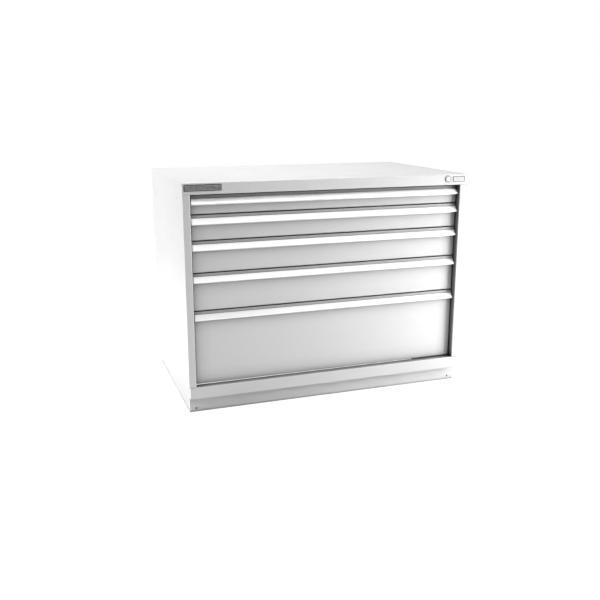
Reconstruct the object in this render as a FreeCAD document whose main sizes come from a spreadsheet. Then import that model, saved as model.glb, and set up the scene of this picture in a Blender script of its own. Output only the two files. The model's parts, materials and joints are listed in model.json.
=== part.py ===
"""Flat file cabinet: a sheet-steel housing on a recessed base, with five full-width drawers.

Each drawer runs on two telescopic slides.  A C-shaped runner on the drawer rides on the front
rollers of an intermediate carriage, and the carriage's rear rollers run in a fixed rail.
A key lock turns a cam that lifts a hooked bar in front of a catch on every drawer.

Frame: +Z up, the drawers open towards -Y, origin under the middle of the cabinet on the floor.
Lengths are millimetres.
"""
import FreeCAD
import Part
import Sketcher
import os
import re

DIMENSIONS = {
    # housing
    "width": 1194,
    "depth": 724,
    "height": 911,
    "sheet": 1.5,
    "header": 44,
    "post": 28,
    "jamb": 50,
    "jamb_hem": 26,
    "side_flange": 20,
    "inner_flange": 25,
    "top_return": 22,
    "bend": 3,
    # base
    "opening_floor": 112.5,
    "seam": 2,
    "base_inset": 3.5,
    "fascia_floor": 62,
    "kick_recess": 31,
    "base_sheet": 2,
    "base_foot": 46,
    "base_lip": 32,
    "base_gap": 5,
    "joint_play": 0.2,
    "access_hole": 3.5,
    "access_across": 568,
    "access_up": 14,
    "ganging_hole": 3.5,
    "ganging_along": 236,
    "ganging_up": 844,
    # drawers, named from the top; the fifth takes the rest of the opening
    "top_clearance": 2.5,
    "drawer_one": 75,
    "drawer_two": 100,
    "drawer_three": 125,
    "drawer_four": 150,
    "floor_clearance": 2,
    "front_clearance": 2,
    "front_return": 16,
    "face_recess": 24,
    "face_gap": 6,
    "tray_half": 546,
    "tray_back": 334,
    "tray_lift": 5,
    "tray_drop": 11,
    "tray_rim": 7,
    # handle section, measured back from the front plane and down from the drawer's top
    "grip_top": 13,
    "grip_back": 19.5,
    "grip_drop": 15.2,
    "grip_angle": 54,
    "grip_length": 24,
    "grip_wall": 2.4,
    "grip_curl": 4.5,
    "grip_end": 0.5,
    "grip_flange": 27,
    "label_start": 2,
    "label_end": 16,
    "label_depth": 1,
    "label_play": 0.15,
    # slides
    "slide_height": 24,
    "roller_radius": 12,
    "roller_width": 9,
    "axle_radius": 4,
    "axle_play": 0.05,
    "runner_half": 546,
    "plate_half": 562,
    "rail_half": 588,
    "slide_sheet": 2,
    "plate_rise": 9,
    "rail_front": 66,
    "rail_back": 346,
    # lock
    "lock_across": 512,
    "lock_up": 892,
    "lock_ring": 13,
    "lock_barrel": 9.5,
    "lock_bore": 6.6,
    "plug_play": 0.05,
    "cam_throw": 8,
    "catch_up": 56,
    "catch_rise": 8,
    "hook_up": 48,
    "hook_rise": 6,
    "bar_back": 54,
    "bar_thick": 2.5,
    "bar_near": 573,
    "bar_far": 585,
    # fittings
    "proud": 3,
    "screw_radius": 2.5,
    "anchor_radius": 5.5,
    "anchor_across": 560,
    "anchor_along": 260,
}

FRONT = "(0 - depth / 2)"
BACK = "(depth / 2)"
HALF = "(width / 2)"
FACE = "(%s + face_recess)" % FRONT
HEADER_FLOOR = "(height - header)"
DRAWER_HEIGHTS = ("drawer_one", "drawer_two", "drawer_three", "drawer_four")
SIDES = (1, -1)
DRAWERS = (1, 2, 3, 4, 5)

doc = FreeCAD.newDocument("flat_file_cabinet")
dims = doc.addObject("Spreadsheet::Sheet", "dims")
pieces = []


def fill_sheet():
    """Write each driving dimension as a plain number with an alias."""
    for row, (name, number) in enumerate(DIMENSIONS.items(), start=1):
        dims.set("A%d" % row, name)
        dims.set("B%d" % row, str(number))
        dims.setAlias("B%d" % row, name)
    doc.recompute()


def formula(text):
    """Point every dimension's name in a formula at its cell."""
    return re.sub(r"[a-z][a-z_]+", cell, str(text))


def cell(match):
    word = match.group(0)
    return "dims." + word if word in DIMENSIONS else word


def number(text):
    return float(dims.evalExpression(formula(text)))


def bind(target, **formulas):
    """Bind properties such as Length or Placement_Base_x to formulas."""
    for name, text in formulas.items():
        target.setExpression(name.replace("_", "."), formula(text))


def place(target, across="0", along="0", up="0"):
    bind(target, Placement_Base_x=across, Placement_Base_y=along, Placement_Base_z=up)


def part(target, label):
    """Keep a finished sub-part under the name of its file."""
    target.Label = label
    pieces.append(target)
    return target


def drawer_top(index):
    above = "".join(" - " + name for name in DRAWER_HEIGHTS[:index - 1])
    return "(%s - top_clearance%s)" % (HEADER_FLOOR, above)


def drawer_floor(index):
    if index == len(DRAWERS):
        return "(opening_floor + floor_clearance)"
    return drawer_top(index + 1)


def slide_level(index):
    return "(%s + slide_height)" % drawer_floor(index)


def span(side, near, far):
    """Lowest X of a stretch that lies from near to far out on one side."""
    return near if side > 0 else "0 - (%s)" % far


# ---------------------------------------------------------------- building blocks

def box(low, size, name="Box"):
    """Box from its lowest corner and its size, each three formulas."""
    block = doc.addObject("Part::Box", name)
    bind(block, Length=size[0], Width=size[1], Height=size[2])
    place(block, *low)
    return block


def side_box(side, across, along, up, name="Box"):
    """Box between two distances out from the middle, two depths and two heights."""
    low = (span(side, across[0], across[1]), along[0], up[0])
    size = ["(%s) - (%s)" % (end, start) for start, end in (across, along, up)]
    return box(low, size, name)


def wide_box(half, along, up, name="Box"):
    """Box that spans the middle, out to half on both sides."""
    size = ("2 * (%s)" % half, "(%s) - (%s)" % (along[1], along[0]), "(%s) - (%s)" % (up[1], up[0]))
    return box(("0 - (%s)" % half, along[0], up[0]), size, name)


def rod(radius, start, length, turn, name="Rod"):
    """Cylinder from a start point; turn is the rotation that lays its axis down."""
    round_bar = doc.addObject("Part::Cylinder", name)
    bind(round_bar, Radius=radius, Height=length)
    round_bar.Placement.Rotation = turn
    place(round_bar, *start)
    return round_bar


def fuse(label, shapes):
    joined = doc.addObject("Part::MultiFuse", "Fuse")
    joined.Shapes = shapes
    joined.Refine = True
    return part(joined, label) if label else joined


def cut(label, base, tools):
    tool = tools[0]
    if len(tools) > 1:
        tool = doc.addObject("Part::MultiFuse", "Tools")
        tool.Shapes = tools
    carved = doc.addObject("Part::Cut", "Cut")
    carved.Base = base
    carved.Tool = tool
    carved.Refine = True
    return part(carved, label) if label else carved


def group(label, shapes):
    """Several separate solids in one sub-part."""
    bundle = doc.addObject("Part::Compound", "Group")
    bundle.Links = shapes
    return part(bundle, label) if label else bundle


ALONG_X = FreeCAD.Rotation(FreeCAD.Vector(0, 1, 0), 90)
ALONG_Y = FreeCAD.Rotation(FreeCAD.Vector(1, 0, 0), -90)


def new_sketch(body, role):
    sketch = body.newObject("Sketcher::SketchObject", "Outline")
    plane = [item for item in body.Origin.OriginFeatures if item.Role == role][0]
    sketch.AttachmentSupport = (plane, [""])
    sketch.MapMode = "FlatFace"
    return sketch


def add_outline(sketch, corners):
    """Closed polygon whose corners are held by distances from the sketch's origin."""
    first = sketch.GeometryCount
    points = [FreeCAD.Vector(number(u), number(v), 0) for u, v in corners]
    for index, point in enumerate(points):
        following = points[(index + 1) % len(points)]
        sketch.addGeometry(Part.LineSegment(point, following), False)
    for index in range(len(points)):
        following = first + (index + 1) % len(points)
        sketch.addConstraint(Sketcher.Constraint("Coincident", first + index, 2, following, 1))
    for index, (u, v) in enumerate(corners):
        hold(sketch, "DistanceX", first + index, points[index].x, u)
        hold(sketch, "DistanceY", first + index, points[index].y, v)


def hold(sketch, kind, line, start_value, text):
    index = sketch.addConstraint(Sketcher.Constraint(kind, -1, 1, line, 1, start_value))
    sketch.setExpression("Constraints[%d]" % index, formula(text))


def extrusion(outlines, role, length, symmetric=False):
    """Body with one pad of one or more closed outlines on an origin plane."""
    body = doc.addObject("PartDesign::Body", "Body")
    sketch = new_sketch(body, role)
    for corners in outlines:
        add_outline(sketch, corners)
    pad = body.newObject("PartDesign::Pad", "Pad")
    pad.Profile = sketch
    bind(pad, Length=length)
    if symmetric:
        pad.SideType = "Symmetric"
    doc.recompute()
    return body


def round_bends(body, role, bends):
    """Fillet the edges that stand on given corners of the outline; bends are (u, v, radius)."""
    for u, v, radius in bends:
        base = body.Tip
        names = edges_on(base.Shape, role, number(u), number(v))
        fillet = body.newObject("PartDesign::Fillet", "Bend")
        fillet.Base = (base, names)
        bind(fillet, Radius=radius)
        doc.recompute()


def edges_on(shape, role, u, v):
    """Names of the straight edges that run across the outline's plane at one corner."""
    tolerance = 0.01
    names = []
    for index, edge in enumerate(shape.Edges, start=1):
        ends = [in_plane(vertex.Point, role) for vertex in edge.Vertexes]
        if all(abs(end[0] - u) < tolerance and abs(end[1] - v) < tolerance for end in ends):
            names.append("Edge%d" % index)
    return names


def in_plane(point, role):
    if role == "YZ_Plane":
        return point.y, point.z
    if role == "XZ_Plane":
        return point.x, point.z
    return point.x, point.y


# ---------------------------------------------------------------- housing

SCREW_HOLE = "screw_radius + joint_play / 2"


def side_panel(side, label):
    """Folded side: outer sheet with a ganging hole, front post with a hemmed jamb, rear flange."""
    def across(text):
        return "%d * (%s)" % (side, text)

    corners = [
        (across(HALF), FRONT),
        (across(HALF), BACK),
        (across(HALF + " - side_flange"), BACK),
        (across(HALF + " - side_flange"), BACK + " - sheet"),
        (across(HALF + " - sheet"), BACK + " - sheet"),
        (across(HALF + " - sheet"), FRONT + " + sheet"),
        (across(HALF + " - post + 2 * sheet"), FRONT + " + sheet"),
        (across(HALF + " - post + 2 * sheet"), FRONT + " + jamb"),
        (across(HALF + " - post + sheet"), FRONT + " + jamb"),
        (across(HALF + " - post + sheet"), FRONT + " + jamb_hem"),
        (across(HALF + " - post"), FRONT + " + jamb_hem"),
        (across(HALF + " - post"), FRONT),
    ]
    folded = extrusion([corners], "XY_Plane", HEADER_FLOOR + " - opening_floor")
    round_bends(folded, "XY_Plane", [(corners[-1][0], corners[-1][1], "bend")])
    place(folded, up="opening_floor")
    skin = (HALF + " - sheet", HALF)
    flange = (HALF + " - inner_flange", HALF + " - sheet / 2")
    inside = (FRONT + " + jamb + 10", BACK + " - jamb")
    sheets = [
        folded,
        side_box(side, skin, (FRONT + " + bend", BACK + " - bend"), ("opening_floor", "height - sheet")),
        side_box(side, flange, inside, ("opening_floor", "opening_floor + sheet")),
        side_box(side, flange, inside, ("height - 2 * sheet", "height - sheet")),
    ]
    hole = rod("ganging_hole", (span(side, HALF + " - 5", HALF + " + 5"), "0 - ganging_along", "ganging_up"),
               "10", ALONG_X)
    cut(label, fuse(None, sheets), screw_shanks(side, SCREW_HOLE) + [hole])


def screw_places(side):
    """Centres of the four back-panel screws on one rear flange."""
    across = "%d * (%s - side_flange / 2)" % (side, HALF)
    pitch = "(height - opening_floor - header) / 4"
    return [(across, "opening_floor + (%d + 0.5) * %s" % (step, pitch)) for step in range(4)]


def screw_shanks(side, radius):
    shank = "4 * sheet"
    return [rod(radius, (across, BACK + " - " + shank, up), shank, ALONG_Y)
            for across, up in screw_places(side)]


def back_panel():
    plate = wide_box(HALF + " - 2 * sheet", (BACK + " - 2 * sheet", BACK + " - sheet"),
                     ("opening_floor + sheet", "height - 4 * sheet"))
    holes = screw_shanks(1, SCREW_HOLE) + screw_shanks(-1, SCREW_HOLE)
    cut("back_panel", plate, holes)


def back_screws():
    """Eight identical pan-head screws that hold the back panel."""
    screws = []
    for side in SIDES:
        for shank, (across, up) in zip(screw_shanks(side, "screw_radius"), screw_places(side)):
            head = rod("2 * screw_radius", (across, BACK, up), "proud", ALONG_Y)
            screws.append(fuse(None, [shank, head]))
    group("back_screws", screws)


def top_panel():
    """Top sheet folded down into the header in front and a lip behind, with the lock's hole.

    The header's return is trimmed at both ends, so that it fits between the side panels.
    """
    corners = [
        (FRONT, "height"),
        (BACK, "height"),
        (BACK, "height - side_flange"),
        (BACK + " - sheet", "height - side_flange"),
        (BACK + " - sheet", "height - sheet"),
        (FRONT + " + sheet", "height - sheet"),
        (FRONT + " + sheet", HEADER_FLOOR + " + sheet"),
        (FRONT + " + top_return", HEADER_FLOOR + " + sheet"),
        (FRONT + " + top_return", HEADER_FLOOR),
        (FRONT, HEADER_FLOOR),
    ]
    folded = extrusion([corners], "YZ_Plane", "width", symmetric=True)
    round_bends(folded, "YZ_Plane", [
        (FRONT, "height", "bend"), (FRONT + " + sheet", "height - sheet", "bend - sheet"),
        (BACK, "height", "bend"), (BACK + " - sheet", "height - sheet", "bend - sheet"),
        (FRONT, HEADER_FLOOR, "bend"),
        (FRONT + " + sheet", HEADER_FLOOR + " + sheet", "bend - sheet")])
    hole = rod("lock_barrel + joint_play / 2", ("lock_across", FRONT + " - 1", "lock_up"), "5", ALONG_Y)
    trims = [side_box(side, (HALF + " - sheet - joint_play", HALF + " + 1"),
                      (FRONT + " + bend", FRONT + " + top_return + 1"),
                      (HEADER_FLOOR + " - 1", HEADER_FLOOR + " + 2 * sheet")) for side in SIDES]
    cut("top_panel", folded, [hole] + trims)


def bottom_panel():
    plate = wide_box(HALF + " - base_inset - sheet",
                     (FRONT + " + kick_recess + 14", BACK + " - base_gap"),
                     ("opening_floor - seam", "opening_floor"))
    part(plate, "bottom_panel")


# ---------------------------------------------------------------- base

BASE_HALF = "(%s - base_inset)" % HALF
BASE_TOP = "(opening_floor - seam)"


def bottom_rail():
    """Front fascia of the base: a folded channel with closed ends."""
    back = FRONT + " + kick_recess"
    top = "opening_floor - joint_play"
    corners = [
        (FRONT, "fascia_floor"),
        (FRONT, top),
        (back, top),
        (back, top + " - sheet"),
        (FRONT + " + sheet", top + " - sheet"),
        (FRONT + " + sheet", "fascia_floor + sheet"),
        (back, "fascia_floor + sheet"),
        (back, "fascia_floor"),
    ]
    channel = extrusion([corners], "YZ_Plane", "2 * " + BASE_HALF, symmetric=True)
    round_bends(channel, "YZ_Plane", [
        (FRONT, top, "bend"), (FRONT, "fascia_floor", "bend"),
        (FRONT + " + sheet", top + " - sheet", "bend - sheet"),
        (FRONT + " + sheet", "fascia_floor + sheet", "bend - sheet")])
    ends = [side_box(side, (BASE_HALF + " - sheet", BASE_HALF), (FRONT + " + sheet", back),
                     ("fascia_floor + sheet", top + " - sheet")) for side in SIDES]
    fuse("bottom_rail", [channel] + ends)


def kick_plate():
    """Recessed toe plate with a levelling hole near each end."""
    plate = wide_box(BASE_HALF, (FRONT + " + kick_recess - base_sheet", FRONT + " + kick_recess"),
                     ("0", "fascia_floor"))
    holes = [rod("access_hole", ("%d * access_across" % side, FRONT + " + kick_recess - 5", "access_up"),
                 "8", ALONG_Y) for side in SIDES]
    cut("kick_plate", plate, holes)


def base_side_rails():
    """Two C-shaped side rails; their lower flanges stand on the floor and take the anchors."""
    rails = []
    for side in SIDES:
        def across(text):
            return "%d * (%s)" % (side, text)

        inner = BASE_HALF + " - base_sheet"
        corners = [
            (across(BASE_HALF), "0"),
            (across(BASE_HALF), BASE_TOP),
            (across(BASE_HALF + " - base_lip"), BASE_TOP),
            (across(BASE_HALF + " - base_lip"), BASE_TOP + " - base_sheet"),
            (across(inner), BASE_TOP + " - base_sheet"),
            (across(inner), "base_sheet"),
            (across(BASE_HALF + " - base_foot"), "base_sheet"),
            (across(BASE_HALF + " - base_foot"), "0"),
        ]
        rail = extrusion([corners], "XZ_Plane", "depth - kick_recess - base_gap")
        place(rail, along=BACK + " - base_gap")
        holes = [rod("anchor_radius", (across("anchor_across"), "%d * anchor_along" % end, "0 - 1"),
                     "5", FreeCAD.Rotation()) for end in SIDES]
        rails.append(cut(None, rail, holes))
    group("base_side_rails", rails)


def base_rear_rail():
    """Rear cross member, a channel between the side rails."""
    back = BACK + " - 8"
    floor = "base_sheet + 0.5"
    top = BASE_TOP + " - base_sheet"
    corners = [
        (back, floor),
        (back, top),
        (back + " - base_lip", top),
        (back + " - base_lip", top + " - base_sheet"),
        (back + " - base_sheet", top + " - base_sheet"),
        (back + " - base_sheet", floor + " + base_sheet"),
        (back + " - base_lip", floor + " + base_sheet"),
        (back + " - base_lip", floor),
    ]
    rail = extrusion([corners], "YZ_Plane", "2 * (%s - base_sheet)" % BASE_HALF, symmetric=True)
    part(rail, "base_rear_rail")


# ---------------------------------------------------------------- slide supports

UPRIGHT_LEG = 6
UPRIGHT_WIDTH = 32
UPRIGHT_PLACES = (-255, 310)
SLOT_PITCH = 25.4
SLOT_COUNT = 29


def upright(side, middle):
    """Slotted U-shaped post that the fixed rails hang on, open towards the side panel."""
    near = "rail_half"
    outer = HALF + " - sheet"
    ends = (middle - UPRIGHT_WIDTH / 2, middle + UPRIGHT_WIDTH / 2)
    corners = [
        ("%d * (%s)" % (side, outer), ends[0]),
        ("%d * %s" % (side, near), ends[0]),
        ("%d * %s" % (side, near), ends[1]),
        ("%d * (%s)" % (side, outer), ends[1]),
        ("%d * (%s)" % (side, outer), "%g - sheet" % ends[1]),
        ("%d * (%s + sheet)" % (side, near), "%g - sheet" % ends[1]),
        ("%d * (%s + sheet)" % (side, near), "%g + sheet" % ends[0]),
        ("%d * (%s)" % (side, outer), "%g + sheet" % ends[0]),
    ]
    body = extrusion([corners], "XY_Plane", "height - opening_floor - 6 * sheet")
    place(body, up="opening_floor + 2 * sheet")
    add_slots(body, side, middle)
    return body


def add_slots(body, side, middle):
    """Row of slots through the post's web."""
    half_slot = 5
    first = 14
    sketch = new_sketch(body, "YZ_Plane")
    add_outline(sketch, [(middle - half_slot, first), (middle + half_slot, first),
                         (middle + half_slot, first + half_slot), (middle - half_slot, first + half_slot)])
    pocket = body.newObject("PartDesign::Pocket", "Slot")
    pocket.Profile = sketch
    pocket.Type = "ThroughAll"
    pocket.Reversed = side > 0
    before = body.Shape.Volume
    doc.recompute()
    pattern = body.newObject("PartDesign::LinearPattern", "Slots")
    pattern.Originals = [pocket]
    pattern.Direction = (sketch, ["V_Axis"])
    pattern.Length = SLOT_PITCH * (SLOT_COUNT - 1)
    pattern.Occurrences = SLOT_COUNT
    body.Tip = pattern
    doc.recompute()
    if body.Shape.Volume >= before:
        raise RuntimeError("the upright's slots cut nothing")


def uprights():
    group("uprights", [upright(side, middle) for side in SIDES for middle in UPRIGHT_PLACES])


RAIL_START = "(%s + rail_front)" % FRONT
CHANNEL_INNER = "(roller_radius + 0.2)"


def drawer_rails():
    """Ten fixed C-shaped rails, one on each side for each drawer."""
    outlines = []
    for side in SIDES:
        for index in DRAWERS:
            outlines.append(channel_corners(side, "rail_half", "0 - 21", slide_level(index)))
    rails = extrusion(outlines, "XZ_Plane", "rail_back - %s" % RAIL_START)
    place(rails, along="rail_back")
    part(rails, "drawer_rails")


def channel_corners(side, web, flange, level):
    """C outline: the web's outer face, how far the flanges reach from it, and the middle height."""
    turn = "0 - slide_sheet" if flange.startswith("0") else "slide_sheet"
    outer = CHANNEL_INNER + " + slide_sheet"
    inner = CHANNEL_INNER

    def corner(reach, rise):
        return "%d * (%s + (%s))" % (side, web, reach), "%s + (%s)" % (level, rise)

    return [
        corner("0", "0 - (%s)" % outer), corner("0", outer),
        corner(flange, outer), corner(flange, inner),
        corner(turn, inner), corner(turn, "0 - (%s)" % inner),
        corner(flange, "0 - (%s)" % inner), corner(flange, "0 - (%s)" % outer),
    ]


def rail_glides():
    """Pads above and below each carriage plate at the mouth of its fixed rail."""
    glides = []
    for side in SIDES:
        for index in DRAWERS:
            for sign in SIDES:
                low = "plate_rise + 0.2"
                up = (low, CHANNEL_INNER) if sign > 0 else ("0 - " + CHANNEL_INNER, "0 - (%s)" % low)
                heights = ["%s + (%s)" % (slide_level(index), edge) for edge in up]
                glides.append(side_box(side, ("plate_half - 0.5", "rail_half - slide_sheet"),
                                       (RAIL_START, RAIL_START + " + 12"), heights))
    group("rail_glides", glides)


# ---------------------------------------------------------------- drawers

def drawer_tray(index):
    """Open tray with rolled rims, and a catch outside its right wall for the lock bar."""
    floor = "(%s + tray_lift)" % drawer_floor(index)
    top = "(%s - tray_drop)" % drawer_top(index)
    front = "(%s + sheet)" % FACE
    shell = wide_box("tray_half", (front, "tray_back"), (floor, top))
    hollow = wide_box("tray_half - sheet", (front + " - 1", "tray_back - sheet"),
                      (floor + " + sheet", top + " - sheet"))
    mouth = wide_box("tray_half - tray_rim", (front + " - 1", "tray_back - tray_rim"),
                     (floor + " + sheet", top + " + 1"))
    tray = cut(None, shell, [hollow, mouth])
    catch_floor = drawer_floor(index) + " + catch_up"
    catch = side_box(1, ("tray_half - sheet / 2", "plate_half"), (FRONT + " + 60", FRONT + " + 63"),
                     (catch_floor, catch_floor + " + catch_rise"))
    fuse("drawer_%d_tray" % index, [tray, catch])


def drawer_front(index):
    """Folded front with a rounded lower bend, an upper return and short side hems."""
    floor = "(%s + front_clearance)" % drawer_floor(index)
    top = "(%s - front_clearance)" % drawer_top(index)
    back = FACE + " + front_return"
    corners = [
        (FACE, floor),
        (FACE, top),
        (back, top),
        (back, top + " - sheet"),
        (FACE + " + sheet", top + " - sheet"),
        (FACE + " + sheet", floor + " + sheet"),
        (back, floor + " + sheet"),
        (back, floor),
    ]
    half = "%s - post - face_gap" % HALF
    body = extrusion([corners], "YZ_Plane", "2 * (%s)" % half, symmetric=True)
    round_bends(body, "YZ_Plane", [(FACE, floor, "bend"), (FACE, top, "bend")])
    hems = [side_box(side, (half + " - sheet", half), (FACE + " + 1", FACE + " + 5"),
                     (floor + " + bend", top + " - bend")) for side in SIDES]
    fuse("drawer_%d_front" % index, [body] + hems)


GRIP_WIDTH = "2 * (%s - post - face_gap - grip_end)" % HALF


def on_grip(index, reach, depth):
    """Point on the handle's sloping face: reach down it from the bend, depth into it."""
    along = "%s + grip_back - (%s) * cos(grip_angle) + (%s) * sin(grip_angle)" % (FRONT, reach, depth)
    up = "%s - grip_drop - (%s) * sin(grip_angle) - (%s) * cos(grip_angle)" % (
        drawer_top(index), reach, depth)
    return along, up


def drawer_handle(index):
    """Extruded full-width pull: fixing flange, sloping label channel and a rounded lip."""
    top = "%s - grip_top" % drawer_top(index)
    lip = on_grip(index, "grip_length", "0")
    inner = "grip_wall + label_depth / 2"
    flange = FACE + " - grip_wall"
    corners = [
        (FACE, top),
        on_grip(index, "0", "0"),
        on_grip(index, "label_start", "0"),
        on_grip(index, "label_start", "label_depth"),
        on_grip(index, "label_end", "label_depth"),
        on_grip(index, "label_end", "0"),
        lip,
        (lip[0] + " + grip_curl", lip[1] + " - grip_curl / 5"),
        (lip[0] + " + grip_curl + 1", lip[1] + " - grip_curl / 5 + grip_wall"),
        on_grip(index, "grip_length - 2 * grip_wall", inner),
        on_grip(index, "1", inner),
        (flange, top + " - 2.5 * grip_wall"),
        (flange, top + " - grip_flange"),
        (FACE, top + " - grip_flange"),
    ]
    body = extrusion([corners], "YZ_Plane", GRIP_WIDTH, symmetric=True)
    curl = corners[7]
    round_bends(body, "YZ_Plane", [
        (*corners[1], "2"), (*lip, "1.6"), (*curl, "1"), (*corners[0], "1")])
    part(body, "drawer_%d_handle" % index)


def drawer_label(index):
    """Label strip behind a clear cover, lying in the handle's channel."""
    corners = [
        on_grip(index, "label_start + label_play", "2 * label_play"),
        on_grip(index, "label_end - label_play", "2 * label_play"),
        on_grip(index, "label_end - label_play", "label_depth"),
        on_grip(index, "label_start + label_play", "label_depth"),
    ]
    strip = extrusion([corners], "YZ_Plane", GRIP_WIDTH + " - 6", symmetric=True)
    part(strip, "drawer_%d_label" % index)


def drawer_runners(index):
    """C-shaped runners on the tray's sides, each with a hook at the rear around the carriage plate."""
    runners = []
    for side in SIDES:
        start = FACE + " + 8"
        channel = extrusion([channel_corners(side, "runner_half", "14.5", slide_level(index))],
                            "XZ_Plane", "tray_back + 2 - (%s)" % start)
        place(channel, along="tray_back + 2")
        hooks = []
        for sign in SIDES:
            edges = ("plate_rise + 0.4", CHANNEL_INNER + " + slide_sheet")
            if sign < 0:
                edges = tuple("0 - (%s)" % edge for edge in reversed(edges))
            heights = ["%s + %s" % (slide_level(index), edge) for edge in edges]
            hooks.append(side_box(side, ("runner_half", "plate_half + 4"),
                                  ("tray_back - 8", "tray_back + 2"), heights))
        runners.append(fuse(None, [channel] + hooks))
    group("drawer_%d_runners" % index, runners)


CARRIAGE_FRONT = "(%s + 6)" % RAIL_START
CARRIAGE_BACK = "(rail_back - 20)"
FRONT_AXLE = "(%s + 16)" % CARRIAGE_FRONT
REAR_AXLE = "(%s - 16)" % CARRIAGE_BACK
PLATE = 3
RIM_CHAMFER = 0.8


def axle_pin(side, inward, index):
    """Roller pin with a retaining head, on the inner or the outer face of the carriage plate."""
    along = FRONT_AXLE if inward else REAR_AXLE
    reach = "(roller_width + 3)"
    pin = ("plate_half - " + reach, "plate_half + 1") if inward else (
        "plate_half + %g" % (PLATE - 1), "plate_half + %g + %s" % (PLATE, reach))
    head = (pin[0], pin[0] + " + 1") if inward else (pin[1] + " - 1", pin[1])
    level = slide_level(index)
    return [rod("axle_radius", (span(side, *pin), along, level), "(%s) - (%s)" % (pin[1], pin[0]), ALONG_X),
            rod("axle_radius + 2", (span(side, *head), along, level), "1", ALONG_X)]


def drawer_carriage(index):
    """Intermediate slide members: a plate on each side with a front and a rear roller pin."""
    sides = []
    for side in SIDES:
        level = slide_level(index)
        plate = side_box(side, ("plate_half", "plate_half + %g" % PLATE),
                         (CARRIAGE_FRONT, CARRIAGE_BACK),
                         (level + " - plate_rise", level + " + plate_rise"))
        pins = axle_pin(side, True, index) + axle_pin(side, False, index)
        sides.append(fuse(None, [plate] + pins))
    group("drawer_%d_carriage" % index, sides)


def drawer_rollers(index, inward, label):
    """Pair of bored rollers with rounded rims, one on each side."""
    along = FRONT_AXLE if inward else REAR_AXLE
    start = "plate_half - 1 - roller_width" if inward else "plate_half + %g + 1" % PLATE
    end = "%s + roller_width" % start
    rollers = []
    for side in SIDES:
        place_at = (span(side, start, end), along, slide_level(index))
        tyre = rod("roller_radius", place_at, "roller_width", ALONG_X)
        bore = rod("axle_radius + axle_play", place_at, "roller_width", ALONG_X)
        roller = cut(None, tyre, [bore])
        soft = doc.addObject("Part::Chamfer", "Rim")
        soft.Base = roller
        doc.recompute()
        soft.Edges = [(edge, RIM_CHAMFER, RIM_CHAMFER) for edge in rim_edges(roller.Shape)]
        rollers.append(soft)
    group(label, rollers)


def rim_edges(shape):
    radius = number("roller_radius")
    return [index for index, edge in enumerate(shape.Edges, start=1)
            if edge.Curve.TypeId == "Part::GeomCircle" and abs(edge.Curve.Radius - radius) < 0.01]


# ---------------------------------------------------------------- lock and plates

def lock_cylinder():
    """Fixed barrel with a flat ring in front of the header."""
    centre = ("lock_across", FRONT, "lock_up")
    ring = rod("lock_ring", ("lock_across", FRONT + " - proud", "lock_up"), "proud", ALONG_Y)
    barrel = rod("lock_barrel", centre, "26", ALONG_Y)
    bore = rod("lock_bore", ("lock_across", FRONT + " - proud - 1", "lock_up"), "40", ALONG_Y)
    cut("lock_cylinder", fuse(None, [ring, barrel]), [bore])


CAM_PLANE = "(%s + bar_back - 4)" % FRONT


def lock_plug():
    """Turning plug with a keyway in front and a stem that carries the cam."""
    start = FRONT + " - proud + 0.5"
    plug = rod("lock_bore - plug_play", ("lock_across", start, "lock_up"), "28", ALONG_Y)
    stem = rod("4", ("lock_across", FRONT + " + 20", "lock_up"), CAM_PLANE + " - (%s + 20)" % FRONT, ALONG_Y)
    slot = box(("lock_across - 0.8", start + " - 1", "lock_up - 4"), ("1.6", "9", "8"))
    eye = rod("1.7", ("lock_across", start + " - 1", "lock_up + 2.6"), "9", ALONG_Y)
    cut("lock_plug", fuse(None, [plug, stem]), [slot, eye])


def lock_cam():
    """Cam arm on the plug's stem with the pin that moves the bar."""
    arm = box(("lock_across - cam_throw - 5", CAM_PLANE, "lock_up - 5"), ("cam_throw + 11", "3", "10"))
    pin = rod("2.5", ("lock_across - cam_throw", CAM_PLANE, "lock_up"), "9", ALONG_Y)
    fuse("lock_cam", [arm, pin])


def lock_bar():
    """Flat bar behind the right post: an arm with the cam's slot, and a hook below each catch."""
    along = (FRONT + " + bar_back", FRONT + " + bar_back + bar_thick")
    strip = side_box(1, ("bar_near", "bar_far"), along, ("opening_floor + 14", "lock_up + 8"))
    arm = side_box(1, ("lock_across - cam_throw - 8", "bar_far"), along, ("lock_up - 8", "lock_up + 8"))
    hooks = []
    for index in DRAWERS:
        floor = drawer_floor(index) + " + hook_up"
        hooks.append(side_box(1, ("plate_half - 6", "bar_near + 1"), along,
                              (floor, floor + " + hook_rise")))
    slot = box(("lock_across - cam_throw - 4", FRONT + " + bar_back - 1", "lock_up - 3"),
               ("cam_throw + 8", "bar_thick + 2", "7.5"))
    cut("lock_bar", fuse(None, [strip, arm] + hooks), [slot])


def lock_bar_guides():
    """Two U-shaped guides that hold the bar to the side panel."""
    guides = []
    for up in (drawer_floor(5) + " + 90", drawer_floor(1) + " + 15"):
        block = side_box(1, ("bar_near - 4", HALF + " - sheet"),
                         (FRONT + " + bar_back - 3", FRONT + " + bar_back + bar_thick + 3"),
                         (up, up + " + 12"))
        way = side_box(1, ("bar_near - 0.3", "bar_far + 0.3"),
                       (FRONT + " + bar_back - 0.3", FRONT + " + bar_back + bar_thick + 0.3"),
                       (up + " - 1", up + " + 13"))
        guides.append(cut(None, block, [way]))
    group("lock_bar_guides", guides)


def blank_plate(label, across, up, size, thickness):
    """Thin blank plate on the header with chamfered front edges."""
    plate = box((across, FRONT + " - %g" % thickness, up), (size[0], thickness, size[1]))
    doc.recompute()
    edged = doc.addObject("Part::Chamfer", "Edged")
    edged.Base = plate
    front = number(FRONT) - thickness
    edged.Edges = [(index, 0.3, 0.3) for index, edge in enumerate(plate.Shape.Edges, start=1)
                   if all(abs(vertex.Y - front) < 0.01 for vertex in edge.Vertexes)]
    part(edged, label)


# ---------------------------------------------------------------- assembly

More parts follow.
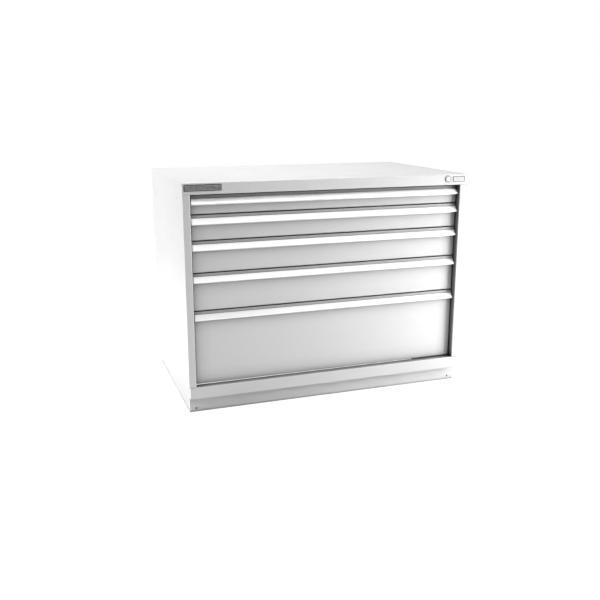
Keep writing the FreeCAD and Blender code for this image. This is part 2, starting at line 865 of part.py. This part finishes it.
def build():
    fill_sheet()
    side_panel(1, "right_side_panel")
    side_panel(-1, "left_side_panel")
    back_panel()
    back_screws()
    top_panel()
    bottom_panel()
    bottom_rail()
    kick_plate()
    base_side_rails()
    base_rear_rail()
    uprights()
    drawer_rails()
    rail_glides()
    for index in DRAWERS:
        drawer_tray(index)
        drawer_front(index)
        drawer_handle(index)
        drawer_label(index)
        drawer_runners(index)
        drawer_carriage(index)
        drawer_rollers(index, True, "drawer_%d_front_rollers" % index)
        drawer_rollers(index, False, "drawer_%d_rear_rollers" % index)
    lock_cylinder()
    lock_plug()
    lock_cam()
    lock_bar()
    lock_bar_guides()
    blank_plate("nameplate", "0 - %s + 7" % HALF, HEADER_FLOOR + " + 13.5", (141, 23), 1)
    blank_plate("lock_label", "lock_across + 22", HEADER_FLOOR + " + 13", (54, 21), 0.8)
    doc.recompute()


def check():
    """Stop on any failed object or bad shape."""
    for item in doc.Objects:
        if "Invalid" in item.State or "Error" in item.State:
            raise RuntimeError("%s failed: %s" % (item.Label, item.State))
    for piece in pieces:
        if piece.Shape.isNull() or not piece.Shape.isValid():
            raise RuntimeError("%s has a bad shape" % piece.Label)
        if not piece.Shape.Solids:
            raise RuntimeError("%s has no solid" % piece.Label)


def export():
    os.makedirs("parts", exist_ok=True)
    for piece in pieces:
        piece.Shape.exportStep("parts/%s.step" % piece.Label)
        print("%-26s %2d solids  %s" % (piece.Label, len(piece.Shape.Solids), extent(piece.Shape)))
    print(len(pieces), "sub-parts")


def extent(shape):
    bounds = shape.BoundBox
    return "x %.1f..%.1f  y %.1f..%.1f  z %.1f..%.1f" % (
        bounds.XMin, bounds.XMax, bounds.YMin, bounds.YMax, bounds.ZMin, bounds.ZMax)


build()
check()
export()
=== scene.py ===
"""Looks of the flat file cabinet: materials, small trim, studio light and the camera.

Lengths are metres in the cabinet's frame: +Z up, the drawers open towards -Y, origin on the floor.
"""
import json
import math

import bpy
import bmesh
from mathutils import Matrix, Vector


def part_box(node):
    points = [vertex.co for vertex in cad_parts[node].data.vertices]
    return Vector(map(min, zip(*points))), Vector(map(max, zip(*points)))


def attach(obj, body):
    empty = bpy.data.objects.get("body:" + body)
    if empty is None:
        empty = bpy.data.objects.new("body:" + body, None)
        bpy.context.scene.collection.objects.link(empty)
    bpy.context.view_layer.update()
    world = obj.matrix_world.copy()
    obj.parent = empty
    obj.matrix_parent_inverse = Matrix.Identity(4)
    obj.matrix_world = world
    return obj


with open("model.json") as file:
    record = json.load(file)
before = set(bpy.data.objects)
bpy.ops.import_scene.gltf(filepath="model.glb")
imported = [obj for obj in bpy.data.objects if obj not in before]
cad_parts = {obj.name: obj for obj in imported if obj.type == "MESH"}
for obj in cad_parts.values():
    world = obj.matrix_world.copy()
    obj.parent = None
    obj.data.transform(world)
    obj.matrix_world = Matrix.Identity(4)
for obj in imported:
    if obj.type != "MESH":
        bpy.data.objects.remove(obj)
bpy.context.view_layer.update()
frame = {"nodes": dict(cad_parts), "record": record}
MM = 0.001
DRAWERS = (1, 2, 3, 4, 5)


# ---------------------------------------------------------------- node helpers

def new_material(name, colour, roughness, metallic=0.0, **sockets):
    """Principled material; further sockets are given with underscores for spaces."""
    material = bpy.data.materials.new(name)
    material.use_nodes = True
    shader = material.node_tree.nodes["Principled BSDF"]
    shader.inputs["Base Color"].default_value = (*colour, 1.0)
    shader.inputs["Roughness"].default_value = roughness
    shader.inputs["Metallic"].default_value = metallic
    for socket, value in sockets.items():
        shader.inputs[socket.replace("_", " ")].default_value = value
    return material


def add(material, kind, **inputs):
    """New node with its input sockets set by name."""
    node = material.node_tree.nodes.new("ShaderNode" + kind)
    for socket, value in inputs.items():
        node.inputs[socket.replace("_", " ")].default_value = value
    return node


def link(material, source, target):
    material.node_tree.links.new(source, target)


def shader_of(material):
    return material.node_tree.nodes["Principled BSDF"]


def noise(material, size, detail=2.0, stretch=(1.0, 1.0, 1.0)):
    """Noise with features of about the given size in metres, stretched along the axes."""
    coords = add(material, "TexCoord")
    mapping = add(material, "Mapping", Scale=[1.0 / (size * factor) for factor in stretch])
    texture = add(material, "TexNoise", Scale=1.0, Detail=detail)
    link(material, coords.outputs["Object"], mapping.inputs["Vector"])
    link(material, mapping.outputs["Vector"], texture.inputs["Vector"])
    return texture.outputs["Fac"]


def spread(material, value, low, high):
    """Map a 0..1 noise to a range."""
    ramp = add(material, "MapRange", From_Min=0.3, From_Max=0.7, To_Min=low, To_Max=high)
    link(material, value, ramp.inputs["Value"])
    return ramp.outputs["Result"]


def vary_colour(material, value, dark, light):
    """Blend the base colour between two tones by a noise."""
    mix = material.node_tree.nodes.new("ShaderNodeMix")
    mix.data_type = "RGBA"
    mix.inputs["A"].default_value = (*dark, 1.0)
    mix.inputs["B"].default_value = (*light, 1.0)
    link(material, spread(material, value, 0.0, 1.0), mix.inputs["Factor"])
    link(material, mix.outputs["Result"], shader_of(material).inputs["Base Color"])


def vary_roughness(material, value, low, high):
    link(material, spread(material, value, low, high), shader_of(material).inputs["Roughness"])


def add_bumps(material, layers):
    """Stack of bumps, each a noise value, its height in metres and its strength."""
    previous = None
    for value, height, strength in layers:
        bump = add(material, "Bump", Strength=strength, Distance=height)
        link(material, value, bump.inputs["Height"])
        if previous:
            link(material, previous.outputs["Normal"], bump.inputs["Normal"])
        previous = bump
    link(material, previous.outputs["Normal"], shader_of(material).inputs["Normal"])


# ---------------------------------------------------------------- materials

# Share of open sky at which a gap is wholly shaded, and how far off a surface still shelters it.
CLOSED_GAP = 0.3
PANEL_REACH, BASE_REACH, SHADE_STRIP_REACH = 70 * MM, 10 * MM, 40 * MM
HANDLE_REACH, LABEL_REACH = 4 * MM, 3 * MM
PAINT_SHADE, SHADE_STRIP_TONE, HANDLE_SHADE = (0.04, 0.04, 0.042), (0.03, 0.03, 0.03), (0.2, 0.2, 0.2)
PAINT, PAINT_DARK, PAINT_ROUGH = (0.54, 0.54, 0.545), (0.525, 0.525, 0.53), 0.36


def shade_gaps(material, tone, reach):
    """Put a shade into the base colour of gaps and inner corners, found by ambient occlusion.

    The light alone leaves them paler than they should look. It follows the shape, never the camera.
    """
    colour = shader_of(material).inputs["Base Color"]
    unshaded_colour = colour.links[0].from_socket
    shelter = add(material, "AmbientOcclusion", Distance=reach)
    shelter.samples = 12
    ramp = add(material, "MapRange", From_Min=CLOSED_GAP, From_Max=1.0)
    link(material, shelter.outputs["AO"], ramp.inputs["Value"])
    mix = material.node_tree.nodes.new("ShaderNodeMix")
    mix.data_type = "RGBA"
    mix.inputs["A"].default_value = (*tone, 1.0)
    link(material, unshaded_colour, mix.inputs["B"])
    link(material, ramp.outputs["Result"], mix.inputs["Factor"])
    # Painted shade: the base colour blends towards a dark tone where occlusion is high.
    link(material, mix.outputs["Result"], colour)


def powder_coat(name, light, dark, roughness, reach=0.0):
    """Semi-gloss powder coat: orange peel, faint waviness of the sheet, and shaded gaps up to a reach."""
    material = new_material(name, light, roughness, IOR=1.5)
    peel = noise(material, 1.6 * MM, detail=3.0)
    waves = noise(material, 0.16, detail=1.0)
    vary_colour(material, noise(material, 0.45, detail=4.0), dark, light)
    if reach:
        shade_gaps(material, PAINT_SHADE, reach)
    vary_roughness(material, noise(material, 0.03, detail=3.0), roughness - 0.04, roughness + 0.05)
    add_bumps(material, [(waves, 0.6 * MM, 0.25), (peel, 0.06 * MM, 0.35)])
    return material


def drawn_aluminium():
    """Satin anodised extrusion with fine draw lines along its length."""
    material = new_material("anodised_aluminium", (0.93, 0.93, 0.935), 0.36, metallic=0.3)
    lines = noise(material, 0.35 * MM, detail=2.0, stretch=(900.0, 1.0, 1.0))
    bands = noise(material, 2.5 * MM, detail=3.0, stretch=(160.0, 1.0, 1.0))
    vary_colour(material, bands, (0.88, 0.88, 0.885), (0.95, 0.95, 0.955))
    shade_gaps(material, HANDLE_SHADE, HANDLE_REACH)
    vary_roughness(material, lines, 0.3, 0.42)
    add_bumps(material, [(lines, 0.03 * MM, 0.35)])
    return material


def paper_label():
    """Blank card strip seen through a clear glossy cover."""
    material = new_material("label_strip", (0.92, 0.92, 0.915), 0.55, Coat_Weight=0.8, Coat_Roughness=0.08)
    fibres = noise(material, 0.5 * MM, detail=6.0, stretch=(4.0, 1.0, 1.0))
    vary_colour(material, fibres, (0.91, 0.91, 0.905), (0.95, 0.95, 0.945))
    shade_gaps(material, HANDLE_SHADE, LABEL_REACH)
    add_bumps(material, [(noise(material, 0.12, detail=1.0), 0.3 * MM, 0.3), (fibres, 0.01 * MM, 0.3)])
    return material


def zinc(name, base, rough):
    """Bright zinc plate: rolling lines and a cloudy spangle."""
    dark = tuple(0.86 * channel for channel in base)
    material = new_material(name, base, rough, metallic=1.0)
    lines = noise(material, 0.5 * MM, detail=2.0, stretch=(1.0, 300.0, 1.0))
    clouds = noise(material, 12 * MM, detail=5.0)
    vary_colour(material, clouds, dark, base)
    vary_roughness(material, clouds, rough - 0.06, rough + 0.1)
    add_bumps(material, [(lines, 0.03 * MM, 0.3)])
    return material


def nylon():
    material = new_material("nylon", (0.86, 0.85, 0.80), 0.45, Subsurface_Weight=0.1)
    vary_colour(material, noise(material, 4 * MM, detail=3.0), (0.82, 0.81, 0.76), (0.88, 0.87, 0.83))
    add_bumps(material, [(noise(material, 0.4 * MM, detail=2.0), 0.02 * MM, 0.4)])
    return material


def satin_metal(name, base, rough, metallic):
    """Turned or drawn metal with a soft shine; a low metallic share keeps it pale in an unlit room."""
    material = new_material(name, base, rough, metallic=metallic)
    turned = noise(material, 0.25 * MM, detail=2.0)
    vary_roughness(material, turned, rough - 0.05, rough + 0.08)
    vary_colour(material, noise(material, 5 * MM), tuple(0.9 * c for c in base), base)
    add_bumps(material, [(turned, 0.01 * MM, 0.3)])
    return material


def shade_strip_metal():
    """Grey metal of the strips that paint the shade along the top of each drawer front, with more painted
    shade towards the gap above it, as the fronts have.
    """
    material = satin_metal("shade_strip_grey", (0.36, 0.36, 0.365), 0.45, 0.1)
    shade_gaps(material, SHADE_STRIP_TONE, SHADE_STRIP_REACH)
    return material


def enamel(name, light, dark, rough):
    """Mottled enamel under a thin clear coat; it carries no lettering."""
    material = new_material(name, light, rough, Coat_Weight=0.3, Coat_Roughness=0.15)
    vary_colour(material, noise(material, 6 * MM, detail=4.0), dark, light)
    vary_roughness(material, noise(material, 2 * MM, detail=3.0), rough - 0.05, rough + 0.1)
    add_bumps(material, [(noise(material, 0.5 * MM, detail=2.0), 0.02 * MM, 0.3)])
    return material


MATERIALS = {
    "powder_coat": powder_coat("powder_coat", PAINT, PAINT_DARK, PAINT_ROUGH, PANEL_REACH),
    "base_coat": powder_coat("base_coat", PAINT, PAINT_DARK, PAINT_ROUGH, BASE_REACH),
    "tray_coat": powder_coat("tray_coat", (0.56, 0.56, 0.565), (0.54, 0.54, 0.545), 0.42),
    "anodised_aluminium": drawn_aluminium(),
    "label_strip": paper_label(),
    "zinc_steel": zinc("zinc_steel", (0.62, 0.63, 0.64), 0.32),
    "roller_steel": zinc("roller_steel", (0.42, 0.43, 0.45), 0.28),
    "zinc_screws": zinc("zinc_screws", (0.66, 0.66, 0.66), 0.3),
    "nylon": nylon(),
    "lock_chrome": satin_metal("lock_chrome", (0.62, 0.62, 0.63), 0.25, 0.6),
    "lock_brass_nickel": satin_metal("lock_plug_nickel", (0.90, 0.90, 0.89), 0.35, 0.25),
    "nameplate_enamel": enamel("nameplate_enamel", (0.24, 0.24, 0.245), (0.10, 0.10, 0.105), 0.35),
    "lock_plate": enamel("lock_plate", (0.55, 0.55, 0.555), (0.38, 0.38, 0.385), 0.35),
    "plate_border": satin_metal("plate_border", (0.60, 0.60, 0.61), 0.35, 0.5),
    # Grey for the strips that paint the shade along the top of each drawer front.
    "shade_strip_grey": shade_strip_metal(),
    "black_rim": enamel("black_rim", (0.010, 0.010, 0.011), (0.006, 0.006, 0.007), 0.6),
}
BASE_NODES = ("kick_plate", "base_side_rails", "base_rear_rail")


def dress_frame():
    """Give every CAD node its slot's material. The base has the same paint, shaded less far."""
    for entry in frame["record"]["subparts"]:
        mesh = frame["nodes"][entry["node"]].data
        finish = "base_coat" if entry["node"] in BASE_NODES else entry["material_slot"]
        mesh.materials.clear()
        mesh.materials.append(MATERIALS[finish])


# ---------------------------------------------------------------- trim

BLACK_RIM, LINE_INSET, LINE_WIDTH, LABEL_RIM = 2.6 * MM, 2.8 * MM, 1.2 * MM, 1.6 * MM
RIM_HEIGHT, LINE_HEIGHT, LABEL_RIM_HEIGHT = 0.6 * MM, 0.5 * MM, 0.5 * MM
# Thickness and edges of the grey strips that paint the shade along the top of each drawer front.
SHADE_STRIP_SKIN, SHADE_STRIP_EDGE, SHADE_STRIP_DROP = 0.25 * MM, 0.6 * MM, 12.9 * MM
ROUND_SHARE = 0.25


def plate_border(node, name, material, edge, width, height):
    """Raised rounded rim on a plate of the header's front, set in from the plate's edge."""
    low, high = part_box(node)
    mesh = bpy.data.meshes.new(name)
    form = bmesh.new()
    front = low.y - height
    inner = edge + width
    rings = []
    for inset, along in ((edge, low.y), (edge, front), (inner, front), (inner, low.y)):
        corners = ((low.x + inset, low.z + inset), (high.x - inset, low.z + inset),
                   (high.x - inset, high.z - inset), (low.x + inset, high.z - inset))
        rings.append([form.verts.new((x, along, z)) for x, z in corners])
    for ring, following in zip(rings, rings[1:] + rings[:1]):
        for index in range(4):
            after = (index + 1) % 4
            form.faces.new((ring[index], ring[after], following[after], following[index]))
    bmesh.ops.recalc_face_normals(form, faces=form.faces)
    form.to_mesh(mesh)
    form.free()
    rim = bpy.data.objects.new(name, mesh)
    bpy.context.scene.collection.objects.link(rim)
    soften = rim.modifiers.new("Soften", "BEVEL")
    soften.width = ROUND_SHARE * width
    soften.segments = 3
    mesh.materials.append(MATERIALS[material])
    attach(rim, "cabinet")


def thin_strip(name, low, high, material, body):
    """Flat bar between two corners."""
    mesh = bpy.data.meshes.new(name)
    form = bmesh.new()
    bmesh.ops.create_cube(form, size=1.0)
    for vertex in form.verts:
        vertex.co = [low[i] + (vertex.co[i] + 0.5) * (high[i] - low[i]) for i in range(3)]
    form.to_mesh(mesh)
    form.free()
    strip = bpy.data.objects.new(name, mesh)
    bpy.context.scene.collection.objects.link(strip)
    mesh.materials.append(MATERIALS[material])
    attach(strip, body)


def add_shade_strips():
    """Thin grey strip over the top band of each drawer front: a dark sheet that paints the shade falling
    there. Grey band along the top of each drawer front, guessed to be the handle's upper flange.
    """
    for number in DRAWERS:
        front_low, front_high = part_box("drawer_%d_front" % number)
        thin_strip("drawer_%d_upper_flange" % number,
                   (front_low.x, front_low.y - SHADE_STRIP_SKIN, front_high.z - SHADE_STRIP_DROP),
                   (front_high.x, front_low.y, front_high.z - SHADE_STRIP_EDGE),
                   "shade_strip_grey", "drawer_%d" % number)


# ---------------------------------------------------------------- stage

AZIMUTH = math.radians(19.37)
ELEVATION = math.radians(14.44)
DISTANCE = 3.419
AIM = Vector((-0.020, -0.025, 0.339))
LENS = 45.64
SENSOR = 36.0
GLOW, GLOW_SHARE = 1.07, 0.94
FILL = 0.04
FLOOR_REACH = 12.0


def add_camera():
    data = bpy.data.cameras.new("camera")
    data.lens = LENS
    data.sensor_width = SENSOR
    camera = bpy.data.objects.new("camera", data)
    bpy.context.scene.collection.objects.link(camera)
    view = Vector((math.sin(AZIMUTH) * math.cos(ELEVATION),
                   math.cos(AZIMUTH) * math.cos(ELEVATION), -math.sin(ELEVATION)))
    camera.location = AIM - DISTANCE * view
    camera.rotation_euler = view.to_track_quat("-Z", "Y").to_euler()
    bpy.context.scene.camera = camera


def soft_box(name, place, target, size, power):
    """Rectangular area light that faces a point."""
    data = bpy.data.lights.new(name, "AREA")
    data.shape = "RECTANGLE"
    data.size, data.size_y = size
    data.energy = power
    light = bpy.data.objects.new(name, data)
    bpy.context.scene.collection.objects.link(light)
    light.location = place
    light.rotation_euler = (Vector(target) - Vector(place)).to_track_quat("-Z", "Y").to_euler()


def add_world(fill):
    """White surroundings that light the cabinet with a softer fill than the camera sees."""
    world = bpy.data.worlds.new("studio")
    bpy.context.scene.world = world
    world.use_nodes = True
    nodes, links = world.node_tree.nodes, world.node_tree.links
    nodes.clear()
    output = nodes.new("ShaderNodeOutputWorld")
    path = nodes.new("ShaderNodeLightPath")
    blend = nodes.new("ShaderNodeMixShader")
    lighting, seen = nodes.new("ShaderNodeBackground"), nodes.new("ShaderNodeBackground")
    lighting.inputs["Strength"].default_value = fill
    seen.inputs["Strength"].default_value = 1.0
    for shade in (lighting, seen):
        shade.inputs["Color"].default_value = (1.0, 1.0, 1.0, 1.0)
    links.new(path.outputs["Is Camera Ray"], blend.inputs["Fac"])
    links.new(lighting.outputs["Background"], blend.inputs[1])
    links.new(seen.outputs["Background"], blend.inputs[2])
    links.new(blend.outputs["Shader"], output.inputs["Surface"])


def show_lit(paint):
    """Let the camera see a nearly white floor, while the floor lights the cabinet as a greyer one."""
    path = add(paint, "LightPath")
    blend = add(paint, "MixShader")
    seen = add(paint, "Emission", Strength=GLOW)
    weight = add(paint, "Math")
    weight.operation = "MULTIPLY"
    weight.inputs[1].default_value = GLOW_SHARE
    output = paint.node_tree.nodes["Material Output"]
    link(paint, path.outputs["Is Camera Ray"], weight.inputs[0])
    link(paint, weight.outputs["Value"], blend.inputs["Fac"])
    link(paint, shader_of(paint).outputs["BSDF"], blend.inputs[1])
    link(paint, seen.outputs["Emission"], blend.inputs[2])
    link(paint, blend.outputs["Shader"], output.inputs["Surface"])


def add_floor():
    mesh = bpy.data.meshes.new("floor")
    corners = [(FLOOR_REACH * x, FLOOR_REACH * y, 0) for x, y in ((-1, -1), (1, -1), (1, 1), (-1, 1))]
    mesh.from_pydata(corners, [], [(0, 1, 2, 3)])
    floor = bpy.data.objects.new("floor", mesh)
    bpy.context.scene.collection.objects.link(floor)
    paint = new_material("floor", (0.8, 0.8, 0.8), 0.8)
    vary_roughness(paint, noise(paint, 0.05), 0.75, 0.85)
    show_lit(paint)
    mesh.materials.append(paint)


def add_lights():
    """Soft boxes at the right, high in front, at the left and above, in watts."""
    soft_box("right_key", (2.5, -1.6, 1.4), (0.57, -0.36, 0.4), (1.2, 1.2), 78.0)
    soft_box("front_high", (0.2, -1.3, 2.7), (0.0, -0.36, 0.5), (1.8, 0.8), 20.0)
    soft_box("right_low", (1.75, -1.1, 0.35), (0.57, -0.36, 0.25), (0.8, 0.6), 26.0)
    soft_box("left_side", (-2.5, 0.4, 1.1), (-0.6, 0.0, 0.6), (1.6, 1.2), 68.0)
    soft_box("overhead", (-0.3, 0.5, 2.9), (-0.2, 0.2, 0.9), (2.4, 1.4), 96.0)


bpy.context.scene.view_settings.view_transform = "Standard"
add_camera()
add_world(FILL)
add_floor()
add_lights()
dress_frame()
plate_border("nameplate", "nameplate_border", "black_rim", 0.0, BLACK_RIM, RIM_HEIGHT)
plate_border("nameplate", "nameplate_line", "plate_border", LINE_INSET, LINE_WIDTH, LINE_HEIGHT)
plate_border("lock_label", "lock_label_border", "black_rim", 0.0, LABEL_RIM, LABEL_RIM_HEIGHT)
# Grey strips that paint the shade along the top of each drawer front.
add_shade_strips()
